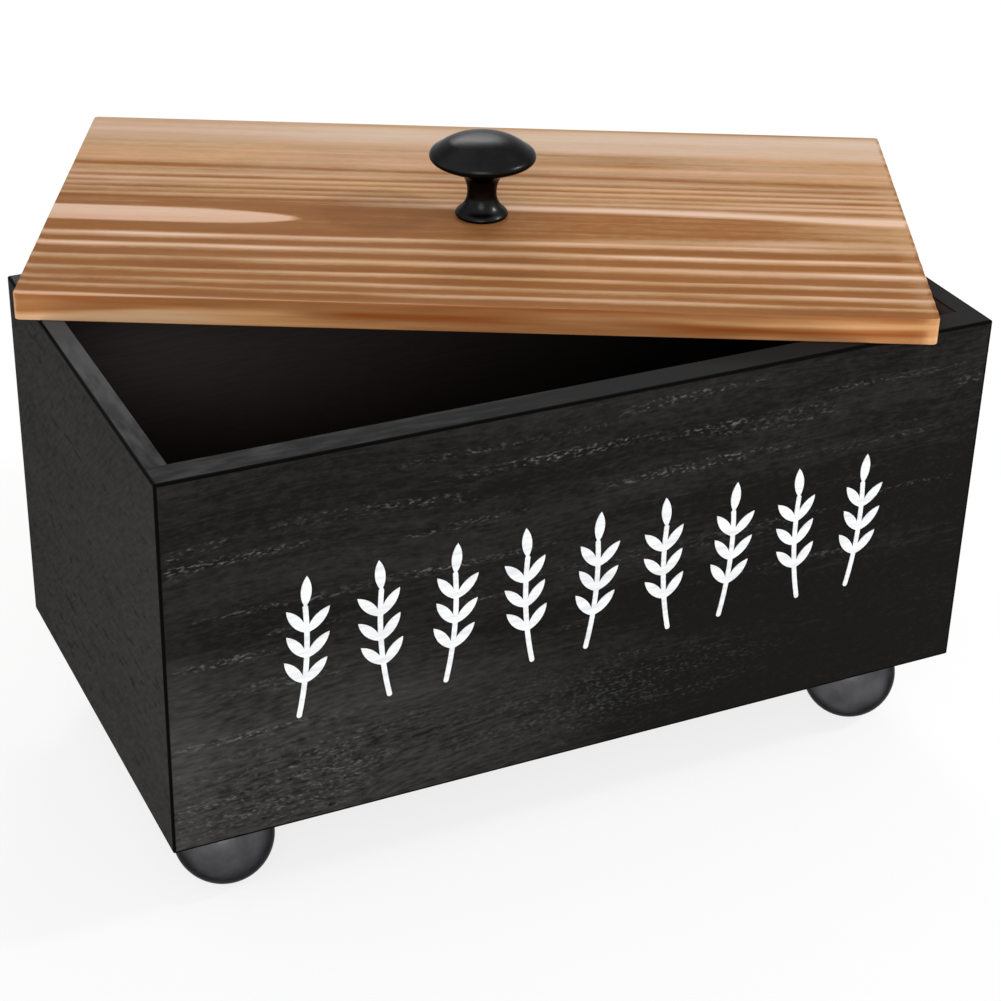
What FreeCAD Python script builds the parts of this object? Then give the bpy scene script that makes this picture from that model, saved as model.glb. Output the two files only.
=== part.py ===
"""Laundry pod container: a stained wooden box on four ball feet, with a loose ridged lid.

Millimetres, +Z up. The origin is the centre of the four feet, on the surface that they stand on.
The box's length runs along X and its front faces -Y. The lid lies on the rim, turned and slid
back, so that the box is half open. Every size below is a cell of the sheet "sizes", and every
piece is bound to those cells.
"""
import FreeCAD
import Part
import Sketcher
import math
import os
import re

Vector = FreeCAD.Vector

SIZES = (
    # walls and floor
    ("box_length", 250),
    ("box_depth", 136),
    ("wall_height", 113.5),
    ("long_wall", 9),
    ("end_wall", 6.5),
    ("floor_thickness", 6),
    ("edge_round", 0.6),
    # turned ball feet: a ball with a flat that meets the floor and a small one that it stands on
    ("foot_diameter", 29),
    ("foot_top_flat", 10),
    ("foot_base_flat", 6),
    ("foot_inset", 21),
    # countersunk wood screws, down through the floor into the feet
    ("foot_screw_diameter", 3.5),
    ("foot_screw_head", 7),
    ("foot_screw_length", 18),
    ("foot_screw_clearance", 0.2),
    # headless pins, set below the surface, filled over and stained
    ("pin_diameter", 1),
    ("pin_length", 22),
    ("pin_set", 1),
    ("corner_pin_margin", 16),
    ("corner_pin_count", 3),
    ("floor_pin_margin", 50),
    ("long_side_pin_count", 3),
    ("short_side_pin_count", 2),
    # lid board and the place where it lies
    ("lid_length", 258),
    ("lid_width", 140.5),
    ("lid_thickness", 8.2),
    ("lid_corner", 1.5),
    ("lid_turn", -26.1),
    ("lid_shift_x", 15.7),
    ("lid_shift_y", 44.2),
    # brushed grain of the lid: coarse grooves at the front, fine ones behind the knob
    ("coarse_count", 6),
    ("coarse_pitch", 7.4),
    ("coarse_width", 6.2),
    ("coarse_depth", 1),
    ("coarse_margin", 3.5),
    ("fine_count", 7),
    ("fine_pitch", 4.4),
    ("fine_width", 3.6),
    ("fine_depth", 0.45),
    ("fine_start", 3.2),
    # mushroom knob
    ("knob_forward", 4.5),
    ("knob_height", 25),
    ("knob_diameter", 32),
    ("knob_band_low", 17.9),
    ("knob_band_high", 20.3),
    ("knob_band_round", 1.1),
    ("knob_bowl_depth", 4),
    ("knob_collar", 10.4),
    ("knob_neck_curve", 18),
    ("knob_shoulder", 9.8),
    ("knob_shoulder_height", 4.2),
    ("knob_shoulder_curve", 6),
    ("knob_base", 16),
    ("knob_base_edge", 0.5),
    ("knob_fillet", 1.5),
    # machine screw that holds the knob, from under the lid
    ("knob_screw_diameter", 4),
    ("knob_screw_length", 16),
    ("knob_screw_head", 8),
    ("knob_screw_head_height", 2.4),
    ("knob_screw_clearance", 0.25),
    ("knob_bore_spare", 1.5),
    # cross recess of both kinds of screw, as a share of the head
    ("recess_reach", 0.55),
    ("recess_slot", 0.16),
    ("recess_depth", 1.2),
    # painted row of leaf sprigs on the front
    ("sprig_count", 9),
    ("sprig_pitch", 21.5),
    ("sprig_height", 43),
    ("sprig_lean", 4),
    ("stem_width", 1.5),
    ("stem_bow", 1.2),
    ("leaf_pairs", 3),
    ("leaf_first", 10),
    ("leaf_length", 9.5),
    ("leaf_width", 3),
    ("leaf_angle", 40),
    ("paint_thickness", 0.2),
)

document = FreeCAD.newDocument("laundry_pod_container")
sheet = document.addObject("Spreadsheet::Sheet", "sizes")
for row, (alias, number) in enumerate(SIZES, start=1):
    sheet.set(f"A{row}", alias)
    sheet.set(f"B{row}", str(number))
    sheet.setAlias(f"B{row}", alias)
document.recompute()

# Formulas over the sheet's aliases. Every alias holds an underscore, so bound() can find it.
FOOT_RISE = "sqrt((foot_diameter / 2)^2 - (foot_base_flat / 2)^2)"
FOOT_HEIGHT = f"({FOOT_RISE} + sqrt((foot_diameter / 2)^2 - (foot_top_flat / 2)^2))"
FLOOR_TOP = f"({FOOT_HEIGHT} + floor_thickness)"
RIM_HEIGHT = f"({FOOT_HEIGHT} + wall_height)"
LID_TOP = f"({RIM_HEIGHT} + lid_thickness)"
INNER_HALF_LENGTH = "(box_length / 2 - end_wall)"
INNER_HALF_DEPTH = "(box_depth / 2 - long_wall)"
FOOT_X = "(box_length / 2 - foot_inset)"
FOOT_Y = "(box_depth / 2 - foot_inset)"
KNOB_X = "(lid_shift_x + knob_forward * sin(lid_turn * 1 deg))"
KNOB_Y = "(lid_shift_y - knob_forward * cos(lid_turn * 1 deg))"

SIDES = (("left", -1), ("right", 1))
DEPTHS = (("front", -1), ("back", 1))


def bound(formula):
    """The formula as an expression, with each alias looked up in the sheet."""
    return re.sub(r"\b([a-z]+(?:_[a-z]+)+)\b", r"sizes.\1", formula)


def value(formula):
    """The number that the formula gives for the sizes in the sheet."""
    return float(sheet.evalExpression(bound(formula)))


def bind(thing, prop, formula):
    thing.setExpression(prop, bound(formula))


def place(thing, x_formula="0", y_formula="0", z_formula="0"):
    """Bind where a piece stands."""
    for letter, formula in zip("xyz", (x_formula, y_formula, z_formula)):
        bind(thing, f"Placement.Base.{letter}", formula)


# ---- sketches ----

def origin_feature(body, role):
    return next(item for item in body.Origin.OriginFeatures if item.Role == role)


def add_sketch(body, name, role="XY_Plane", offset=None):
    """A sketch on one of the body's own origin planes, lifted off it by the offset formula."""
    sketch = body.newObject("Sketcher::SketchObject", f"{body.Name}_{name}")
    sketch.AttachmentSupport = (origin_feature(body, role), [""])
    sketch.MapMode = "FlatFace"
    if offset:
        bind(sketch, "AttachmentOffset.Base.z", offset)
    return sketch


def constrain(sketch, kind, target, formula):
    """Add a dimension and bind it to its formula."""
    index = sketch.addConstraint(Sketcher.Constraint(kind, *target, value(formula)))
    bind(sketch, f"Constraints[{index}]", formula)


def pin_point(sketch, geometry, end, x_formula, y_formula):
    """Fix a point of the sketch; a zero puts it on the axis."""
    for kind, formula, axis in (("DistanceX", x_formula, -2), ("DistanceY", y_formula, -1)):
        if formula == "0":
            sketch.addConstraint(Sketcher.Constraint("PointOnObject", geometry, end, axis))
        else:
            constrain(sketch, kind, (-1, 1, geometry, end), formula)


def arc_between(start, end, radius, turn):
    """The arc shorter than a half circle; turn is 1 anticlockwise and -1 clockwise."""
    chord = end - start
    rise = math.sqrt(radius**2 - (chord.Length / 2)**2)
    side = Vector(-chord.y, chord.x, 0).normalize() * turn
    middle = (start + end) / 2 - side * (radius - rise)
    return Part.Arc(start, middle, end)


def draw_outline(sketch, corners):
    """Close an outline through corners (x, y), or (x, y, radius, turn) where an arc ends there."""
    points = [Vector(value(corner[0]), value(corner[1]), 0) for corner in corners]
    ends = []
    for index, corner in enumerate(corners):
        start = points[index - 1]
        if len(corner) == 2:
            sketch.addGeometry(Part.LineSegment(start, points[index]))
            ends.append((1, 2))
        else:
            radius, turn = corner[2:]
            sketch.addGeometry(arc_between(start, points[index], value(radius), turn))
            ends.append((1, 2) if turn > 0 else (2, 1))
            constrain(sketch, "Radius", (index,), radius)
    for index, corner in enumerate(corners):
        following = (index + 1) % len(corners)
        sketch.addConstraint(
            Sketcher.Constraint("Coincident", index, ends[index][1], following, ends[following][0]))
        pin_point(sketch, index, ends[index][1], corner[0], corner[1])


def draw_rectangle(sketch, x_from, x_to, y_from, y_to):
    draw_outline(sketch, [(x_from, y_from), (x_to, y_from), (x_to, y_to), (x_from, y_to)])


def draw_circle(sketch, x_formula, y_formula, radius):
    centre = Vector(value(x_formula), value(y_formula), 0)
    index = sketch.addGeometry(Part.Circle(centre, Vector(0, 0, 1), value(radius)))
    pin_point(sketch, index, 3, x_formula, y_formula)
    constrain(sketch, "Radius", (index,), radius)


# ---- features ----

def add_body(name):
    body = document.addObject("PartDesign::Body", name)
    body.Label = name
    return body


def add_pad(body, sketch, length):
    pad = body.newObject("PartDesign::Pad", f"{body.Name}_pad")
    pad.Profile = sketch
    bind(pad, "Length", length)
    return pad


def add_pocket(body, sketch, name, length, midplane=False):
    """Cut the sketch down from its plane, or to both sides of it with midplane."""
    pocket = body.newObject("PartDesign::Pocket", f"{body.Name}_{name}")
    pocket.Profile = sketch
    pocket.Midplane = midplane
    bind(pocket, "Length", length)
    return pocket


def add_turning(body, corners):
    """Turn an outline, drawn as radius and height, around the body's Z axis."""
    sketch = add_sketch(body, "profile", "XZ_Plane")
    draw_outline(sketch, corners)
    turning = body.newObject("PartDesign::Revolution", f"{body.Name}_turning")
    turning.Profile = sketch
    turning.ReferenceAxis = (sketch, ["V_Axis"])
    turning.Angle = 360
    return turning


def add_fillet(body, base, name, radius, wanted):
    """Round the edges of base whose centre the wanted test accepts."""
    document.recompute()
    names = [
        f"Edge{number}" for number, edge in enumerate(base.Shape.Edges, start=1)
        if wanted(edge.BoundBox.Center)]
    fillet = body.newObject("PartDesign::Fillet", f"{body.Name}_{name}")
    fillet.Base = (base, names)
    bind(fillet, "Radius", radius)
    return fillet


def add_cross_recess(body, head, offset, turned_over=False):
    """Cut a cross recess into a screw head whose face is at the offset height."""
    sketch = add_sketch(body, "cross", offset=offset)
    arm = f"({head} * recess_reach / 2)"
    slot = f"({head} * recess_slot / 2)"
    corners = []
    for x_sign, y_sign in ((1, 1), (-1, 1), (-1, -1), (1, -1)):
        across = (f"{x_sign} * {arm}", f"{y_sign} * {slot}")
        inner = (f"{x_sign} * {slot}", f"{y_sign} * {slot}")
        along = (f"{x_sign} * {slot}", f"{y_sign} * {arm}")
        corners += [across, inner, along] if x_sign == y_sign else [along, inner, across]
    draw_outline(sketch, corners)
    recess = add_pocket(body, sketch, "recess", "recess_depth")
    recess.Reversed = turned_over


def near(first, second):
    return abs(first - second) < 0.01


# ---- pieces of the box ----

def make_long_panel(name, side, pins):
    """Front or back panel: it runs the full length and covers the ends of the end panels."""
    board = add_body(f"{name}_board")
    sketch = add_sketch(board, "plan")
    outer = f"{side} * box_depth / 2"
    inner = f"{side} * {INNER_HALF_DEPTH}"
    draw_rectangle(sketch, "-box_length / 2", "box_length / 2", outer, inner)
    pad = add_pad(board, sketch, "wall_height")
    half = value("box_length / 2")
    top = value("wall_height")

    def is_outside(centre):
        on_face = near(centre.y, value(outer))
        on_end = near(abs(centre.x), half) and (near(centre.z, 0) or near(centre.z, top))
        return on_face or on_end

    add_fillet(board, pad, "easing", "edge_round", is_outside)
    place(board, z_formula=FOOT_HEIGHT)
    return cut_for_pins(name, board, pins)


def make_end_panel(name, side, pins):
    """Left or right end panel: it stands between the front and back panels."""
    board = add_body(f"{name}_board")
    sketch = add_sketch(board, "plan")
    outer = f"{side} * box_length / 2"
    inner = f"{side} * {INNER_HALF_LENGTH}"
    draw_rectangle(sketch, outer, inner, f"-{INNER_HALF_DEPTH}", INNER_HALF_DEPTH)
    pad = add_pad(board, sketch, "wall_height")

    def is_outside(centre):
        return near(centre.x, value(outer)) and near(centre.y, 0)

    add_fillet(board, pad, "easing", "edge_round", is_outside)
    place(board, z_formula=FOOT_HEIGHT)
    return cut_for_pins(name, board, pins)


def make_bottom_panel(name, pins):
    """Bottom panel between the four walls, with a countersunk hole above each foot."""
    board = add_body(f"{name}_board")
    sketch = add_sketch(board, "plan")
    draw_rectangle(
        sketch, f"-{INNER_HALF_LENGTH}", INNER_HALF_LENGTH, f"-{INNER_HALF_DEPTH}", INNER_HALF_DEPTH)
    add_pad(board, sketch, "floor_thickness")
    centres = add_sketch(board, "screw_centres", offset="floor_thickness")
    for x_sign in (-1, 1):
        for y_sign in (-1, 1):
            draw_circle(
                centres, f"{x_sign} * {FOOT_X}", f"{y_sign} * {FOOT_Y}", "foot_screw_diameter / 2")
    document.recompute()
    hole = board.newObject("PartDesign::Hole", f"{name}_screw_holes")
    hole.Profile = centres
    hole.DepthType = "ThroughAll"
    hole.HoleCutType = "Countersink"
    hole.HoleCutCustomValues = True
    hole.HoleCutCountersinkAngle = 90
    bind(hole, "Diameter", "foot_screw_diameter + 2 * foot_screw_clearance")
    bind(hole, "HoleCutDiameter", "foot_screw_head")
    place(board, z_formula=FOOT_HEIGHT)
    return cut_for_pins(name, board, pins)


def cut_for_pins(name, board, pins):
    """The board with a blind hole wherever a pin runs through it."""
    panel = document.addObject("Part::Cut", name)
    panel.Label = name
    panel.Base = board
    panel.Tool = pins
    return panel


def add_pin(name, x_formula, y_formula, z_formula, rotation):
    pin = document.addObject("Part::Cylinder", name)
    bind(pin, "Radius", "pin_diameter / 2")
    bind(pin, "Height", "pin_length")
    pin.Placement = FreeCAD.Placement(Vector(0, 0, 0), rotation)
    place(pin, x_formula, y_formula, z_formula)
    return pin


def spread(index, count, margin, span):
    """Formula for the place of one of count things, evenly between the margins of a span."""
    return f"({margin} + {index} * ({span} - 2 * {margin}) / {count - 1})"


def group(name, members):
    compound = document.addObject("Part::Compound", name)
    compound.Label = name
    compound.Links = members
    return compound


def make_corner_pins():
    """Pins through the front and back panels into the edges of the end panels."""
    count = int(value("corner_pin_count"))
    pins = []
    for depth_name, depth_side in DEPTHS:
        inwards = FreeCAD.Rotation(Vector(1, 0, 0), 90 * depth_side)
        for side_name, side in SIDES:
            for index in range(count):
                rise = spread(index, count, "corner_pin_margin", "wall_height")
                pins.append(add_pin(
                    f"pin_{depth_name}_{side_name}_{index}",
                    f"{side} * (box_length - end_wall) / 2",
                    f"{depth_side} * (box_depth / 2 - pin_set)",
                    f"{FOOT_HEIGHT} + {rise}", inwards))
    return group("corner_pins", pins)


def make_floor_pins():
    """Pins through the four walls into the edges of the bottom panel."""
    middle = f"{FOOT_HEIGHT} + floor_thickness / 2"
    pins = []
    count = int(value("long_side_pin_count"))
    for name, side in DEPTHS:
        inwards = FreeCAD.Rotation(Vector(1, 0, 0), 90 * side)
        for index in range(count):
            along = spread(index, count, "floor_pin_margin", "box_length")
            pins.append(add_pin(
                f"floor_pin_{name}_{index}", f"{along} - box_length / 2",
                f"{side} * (box_depth / 2 - pin_set)", middle, inwards))
    count = int(value("short_side_pin_count"))
    for name, side in SIDES:
        inwards = FreeCAD.Rotation(Vector(0, 1, 0), -90 * side)
        for index in range(count):
            along = spread(index, count, "floor_pin_margin", "box_depth")
            pins.append(add_pin(
                f"floor_pin_{name}_{index}", f"{side} * (box_length / 2 - pin_set)",
                f"{along} - box_depth / 2", middle, inwards))
    return group("floor_pins", pins)


def make_foot(name, x_sign, y_sign):
    """Turned ball foot, bored for its screw."""
    foot = add_body(name)
    bore = "foot_screw_diameter / 2"
    bore_floor = f"{FLOOR_TOP} - foot_screw_length"
    add_turning(foot, [
        ("0", "0"),
        ("foot_base_flat / 2", "0"),
        ("foot_top_flat / 2", FOOT_HEIGHT, "foot_diameter / 2", 1),
        (bore, FOOT_HEIGHT),
        (bore, f"{bore_floor} + foot_screw_diameter"),
        ("0", bore_floor)])
    place(foot, f"{x_sign} * {FOOT_X}", f"{y_sign} * {FOOT_Y}")
    return foot


def make_foot_screw(name, x_sign, y_sign):
    """Countersunk wood screw, its head level with the top of the bottom panel."""
    screw = add_body(name)
    radius = "foot_screw_diameter / 2"
    add_turning(screw, [
        ("0", "-foot_screw_length"),
        (radius, "foot_screw_diameter - foot_screw_length"),
        (radius, "(foot_screw_diameter - foot_screw_head) / 2"),
        ("foot_screw_head / 2", "0"),
        ("0", "0")])
    add_cross_recess(screw, "foot_screw_head", None)
    place(screw, f"{x_sign} * {FOOT_X}", f"{y_sign} * {FOOT_Y}", FLOOR_TOP)
    return screw


# ---- pieces of the lid ----

def place_on_lid(body, height, x_formula=KNOB_X, y_formula=KNOB_Y):
    """Stand a piece on the lid, turned with it."""
    body.Placement = FreeCAD.Placement(Vector(0, 0, 0), FreeCAD.Rotation(Vector(0, 0, 1), 1))
    bind(body, "Placement.Rotation.Angle", "lid_turn")
    place(body, x_formula, y_formula, height)


def add_grooves(body, kind, start, count):
    """Cut round-bottomed grooves along the lid, backwards from the start formula."""
    sketch = add_sketch(body, kind, "YZ_Plane")
    radius = f"((({kind}_width / 2)^2 + {kind}_depth^2) / (2 * {kind}_depth))"
    draw_circle(sketch, start, f"lid_thickness - {kind}_depth + {radius}", radius)
    groove = add_pocket(body, sketch, f"{kind}_groove", "2 * lid_length", midplane=True)
    grooves = body.newObject("PartDesign::LinearPattern", f"{body.Name}_{kind}_grooves")
    grooves.Originals = [groove]
    grooves.Direction = (origin_feature(body, "Y_Axis"), [""])
    bind(grooves, "Length", f"({count} - 1) * {kind}_pitch")
    bind(grooves, "Occurrences", count)
    body.Tip = grooves


def make_lid_board():
    """Lid: one board with grooves between its grain ridges, and a hole for the knob's screw."""
    lid = add_body("lid_board")
    plan = add_sketch(lid, "plan")
    draw_rectangle(plan, "-lid_length / 2", "lid_length / 2", "-lid_width / 2", "lid_width / 2")
    pad = add_pad(lid, plan, "lid_thickness")
    add_fillet(lid, pad, "corners", "lid_corner", lambda centre: near(centre.z, pad.Length.Value / 2))
    bore = add_sketch(lid, "bore", offset="lid_thickness")
    radius = "knob_screw_diameter / 2 + knob_screw_clearance"
    draw_circle(bore, "0", "-knob_forward", radius)
    add_pocket(lid, bore, "knob_hole", "lid_thickness")
    add_grooves(lid, "coarse", "coarse_margin - lid_width / 2", "coarse_count")
    add_grooves(lid, "fine", "fine_start", "fine_count")
    place_on_lid(lid, RIM_HEIGHT, "lid_shift_x", "lid_shift_y")
    return lid


def make_knob():
    """Mushroom knob, turned, with a blind bore for its screw."""
    knob = add_body("knob")
    head = "(knob_diameter / 2)"
    collar = "(knob_collar / 2)"
    bowl = f"(({head}^2 + knob_bowl_depth^2) / (2 * knob_bowl_depth))"
    collar_height = f"(knob_band_low - knob_bowl_depth + {bowl} - sqrt({bowl}^2 - {collar}^2))"
    dome_rise = "(knob_height - knob_band_high)"
    dome = f"(({head}^2 + {dome_rise}^2) / (2 * {dome_rise}))"
    bore = "knob_screw_diameter / 2"
    bore_top = "knob_screw_length - lid_thickness + knob_bore_spare"
    turning = add_turning(knob, [
        (bore, "0"),
        ("knob_base / 2", "0"),
        ("knob_base / 2", "knob_base_edge"),
        ("knob_shoulder / 2", "knob_shoulder_height", "knob_shoulder_curve", 1),
        (collar, collar_height, "knob_neck_curve", -1),
        (head, "knob_band_low", bowl, 1),
        (head, "knob_band_high"),
        ("0", "knob_height", dome, 1),
        ("0", bore_top),
        (bore, bore_top)])
    band = [value("knob_band_low"), value("knob_band_high")]
    softened = [value("knob_shoulder_height"), value(collar_height)]
    rim = add_fillet(
        knob, turning, "rim", "knob_band_round",
        lambda centre: any(near(centre.z, level) for level in band))
    add_fillet(
        knob, rim, "neck", "knob_fillet",
        lambda centre: any(near(centre.z, level) for level in softened))
    place_on_lid(knob, LID_TOP)
    return knob


def make_knob_screw():
    """Pan-head machine screw, up through the lid into the knob."""
    screw = add_body("knob_screw")
    radius = "knob_screw_diameter / 2"
    head = "knob_screw_head / 2"
    add_turning(screw, [
        ("0", "-knob_screw_head_height"),
        (head, "-knob_screw_head_height"),
        (head, "0"),
        (radius, "0"),
        (radius, "knob_screw_length"),
        ("0", "knob_screw_length")])
    add_cross_recess(screw, "knob_screw_head", "-knob_screw_head_height", turned_over=True)
    place_on_lid(screw, RIM_HEIGHT)
    return screw


# ---- painted sprigs ----

def upright(x, z):
    """A point of the front face, from its place across and up."""
    return Vector(x, 0, z)


def stroke(start, end, bow, width):
    """A brush stroke from start to end: round ends, bowed sideways by bow."""
    along = (end - start).normalize()
    across = Vector(along.z, 0, -along.x)
    half = width / 2
    middle = (start + end) / 2 + across * bow
    right = Part.Arc(start + across * half, middle + across * half, end + across * half)
    tip = Part.Arc(end + across * half, end + along * half, end - across * half)
    left = Part.Arc(end - across * half, middle - across * half, start - across * half)
    heel = Part.Arc(start - across * half, start - along * half, start + across * half)
    return Part.Wire([curve.toShape() for curve in (right, tip, left, heel)])


def leaf(root, degrees, length, width):
    """A leaf from its root, pointing that many degrees to the right of straight up."""
    turn = math.radians(degrees)
    along = upright(math.sin(turn), math.cos(turn))
    across = upright(along.z, -along.x)
    middle = root + along * length / 2
    tip = root + along * length
    right = Part.Arc(root, middle + across * width / 2, tip)
    left = Part.Arc(tip, middle - across * width / 2, root)
    return Part.Wire([right.toShape(), left.toShape()])


def painted(wire, thickness):
    """The area inside the outline, as a film of paint that faces -Y."""
    return Part.Face(wire).extrude(Vector(0, -thickness, 0))


def make_sprig():
    """One sprig, its stem's foot at the origin."""
    height = value("sprig_height")
    bow = value("stem_bow")
    leaf_length = value("leaf_length")
    stem_height = height - leaf_length
    pairs = int(value("leaf_pairs"))
    step = (stem_height - value("leaf_first")) / pairs
    wires = [stroke(upright(0, 0), upright(0, stem_height), bow, value("stem_width"))]
    wires.append(leaf(upright(0, stem_height), 0, leaf_length, value("leaf_width")))
    for index in range(pairs):
        rise = value("leaf_first") + index * step
        root = upright(bow * math.sin(math.pi * rise / stem_height), rise)
        for side in (-1, 1):
            wires.append(leaf(root, side * value("leaf_angle"), leaf_length, value("leaf_width")))
    films = [painted(wire, value("paint_thickness")) for wire in wires]
    return films[0].multiFuse(films[1:]).removeSplitter()


def make_sprigs():
    """A row of sprigs along the middle of the front, leaning left and right in turn."""
    count = int(value("sprig_count"))
    lean = value("sprig_lean")
    head = Vector(0, 0, value("sprig_height - leaf_length"))
    low = value(f"{FOOT_HEIGHT} + (wall_height - sprig_height) / 2")
    sprig = make_sprig()
    films = []
    for index in range(count):
        side = 1 - 2 * (index % 2)
        copy = sprig.copy()
        if side < 0:
            copy = copy.mirror(Vector(0, 0, 0), Vector(1, 0, 0))
        copy.rotate(head, Vector(0, 1, 0), side * lean)
        copy.translate(Vector((index - (count - 1) / 2) * value("sprig_pitch"), 0, low))
        films.append(copy)
    sprigs = document.addObject("Part::Feature", "painted_sprigs")
    sprigs.Label = "painted_sprigs"
    sprigs.Shape = Part.makeCompound(films)
    sprigs.Placement = FreeCAD.Placement(
        Vector(0, -value("box_depth / 2"), 0), FreeCAD.Rotation())
    return sprigs


# ---- the whole container ----

def make_container():
    corner_pins = make_corner_pins()
    floor_pins = make_floor_pins()
    pins = group("pins", [corner_pins, floor_pins])
    nodes = [corner_pins, floor_pins]
    for name, side in DEPTHS:
        nodes.append(make_long_panel(f"{name}_panel", side, pins))
    for name, side in SIDES:
        nodes.append(make_end_panel(f"{name}_end_panel", side, pins))
    nodes.append(make_bottom_panel("bottom_panel", pins))
    screws = []
    for depth_name, y_sign in DEPTHS:
        for side_name, x_sign in SIDES:
            corner = f"{depth_name}_{side_name}"
            nodes.append(make_foot(f"{corner}_foot", x_sign, y_sign))
            screws.append(make_foot_screw(f"{corner}_foot_screw", x_sign, y_sign))
    nodes.append(group("foot_screws", screws))
    nodes.append(make_sprigs())
    nodes += [make_lid_board(), make_knob(), make_knob_screw()]
    return nodes


def check(nodes):
    """Stop if any feature failed or any piece is not a sound solid."""
    for thing in document.Objects:
        if "Invalid" in thing.State or "Error" in thing.State:
            raise RuntimeError(f"{thing.Name} failed: {thing.State}")
    for node in nodes:
        if node.Shape.isNull() or not node.Shape.isValid() or not node.Shape.Solids:
            raise RuntimeError(f"{node.Label} has no sound shape")


def write(nodes):
    os.makedirs("parts", exist_ok=True)
    for node in nodes:
        node.Shape.exportStep(f"parts/{node.Label}.step")
        print(f"{node.Label}: {len(node.Shape.Solids)} solids, {node.Shape.Volume:.1f} mm3")


container = make_container()
document.recompute()
check(container)
write(container)
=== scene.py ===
"""Finishes for a wooden laundry pod container: black-stained walls, turned ball feet, a row of painted
sprigs, and a torched and brushed lid with its knob.

The file is laid out as an add-on and is run as a script. Lengths are in metres, and colours are written
as they look under plain light.
"""

import math

import bpy
import numpy as np
from bpy.props import FloatProperty, FloatVectorProperty, IntProperty, PointerProperty
from bpy.types import NodeSocket, Operator, Panel, PropertyGroup
from mathutils import Matrix, Vector


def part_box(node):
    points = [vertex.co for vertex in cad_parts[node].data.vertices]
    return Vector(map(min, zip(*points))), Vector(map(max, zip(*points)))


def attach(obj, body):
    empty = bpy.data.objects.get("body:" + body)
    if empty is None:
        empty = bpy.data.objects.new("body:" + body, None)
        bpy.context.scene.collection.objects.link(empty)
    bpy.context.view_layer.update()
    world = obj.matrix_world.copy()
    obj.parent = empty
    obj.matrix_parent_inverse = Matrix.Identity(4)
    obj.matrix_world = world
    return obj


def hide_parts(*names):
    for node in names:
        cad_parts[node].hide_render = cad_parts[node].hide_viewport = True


bl_info = {
    "name": "Laundry Pod Container",
    "version": (1, 0, 0),
    "blender": (4, 5, 0),
    "location": "3D View > Sidebar > Pod Container",
    "description": "Dresses a wooden laundry pod container with a loose, brushed lid",
    "category": "Object",
}

MM = 0.001
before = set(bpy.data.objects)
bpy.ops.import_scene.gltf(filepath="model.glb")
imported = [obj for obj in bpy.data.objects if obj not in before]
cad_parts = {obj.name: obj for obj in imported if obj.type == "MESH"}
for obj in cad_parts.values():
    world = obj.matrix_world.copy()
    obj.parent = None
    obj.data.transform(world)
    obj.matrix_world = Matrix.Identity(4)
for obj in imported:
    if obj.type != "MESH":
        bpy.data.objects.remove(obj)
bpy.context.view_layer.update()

WALLS = ("front_panel", "back_panel", "left_end_panel", "right_end_panel", "bottom_panel")
FEET = ("front_left_foot", "front_right_foot", "back_left_foot", "back_right_foot")
SCREWS = ("foot_screws", "knob_screw")
PINS = ("corner_pins", "floor_pins")


def node_size(node):
    """Length, depth and height of a CAD node's box."""
    low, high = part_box(node)
    return high - low


def node_centre(node):
    """Middle of a CAD node's box."""
    low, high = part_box(node)
    return (low + high) / 2


def looks(code):
    """A colour written as six hexadecimal digits, as the linear numbers that a shader takes."""
    shares = [int(code[i : i + 2], 16) / 255 for i in (0, 2, 4)]
    return [s / 12.92 if s <= 0.04045 else ((s + 0.055) / 1.055) ** 2.4 for s in shares]


def length(label, description, default):
    """A property that holds a length."""
    return FloatProperty(
        name=label, description=description, default=default, min=0, precision=5, unit="LENGTH"
    )


def colour(label, description, code):
    """A property that holds a colour."""
    return FloatVectorProperty(
        name=label, description=description, default=looks(code), size=3, min=0, max=1, subtype="COLOR"
    )


class PodContainerSizes(PropertyGroup):
    """Sizes of what the finishes add to the construction."""

    lid_turn: FloatProperty(
        name="Lid turn",
        description="How far the lid lies turned on the box, seen from above",
        default=math.radians(-26.1),
        subtype="ANGLE",
    )
    coarse_relief: length("Coarse relief", "Depth brushed out between the wide growth rings", 0.5 * MM)
    fine_relief: length("Fine relief", "Depth brushed out between the narrow growth rings", 0.25 * MM)
    lid_edge: length("Lid edge", "Rounding of the lid's long and short edges", 0.35 * MM)
    lid_corner: length("Lid corner", "Rounding of the lid's corners, seen from above", 1.5 * MM)
    knob_segments: IntProperty(
        name="Knob segments",
        description="Divisions round the turned knob",
        default=128,
        min=16,
    )


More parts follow.
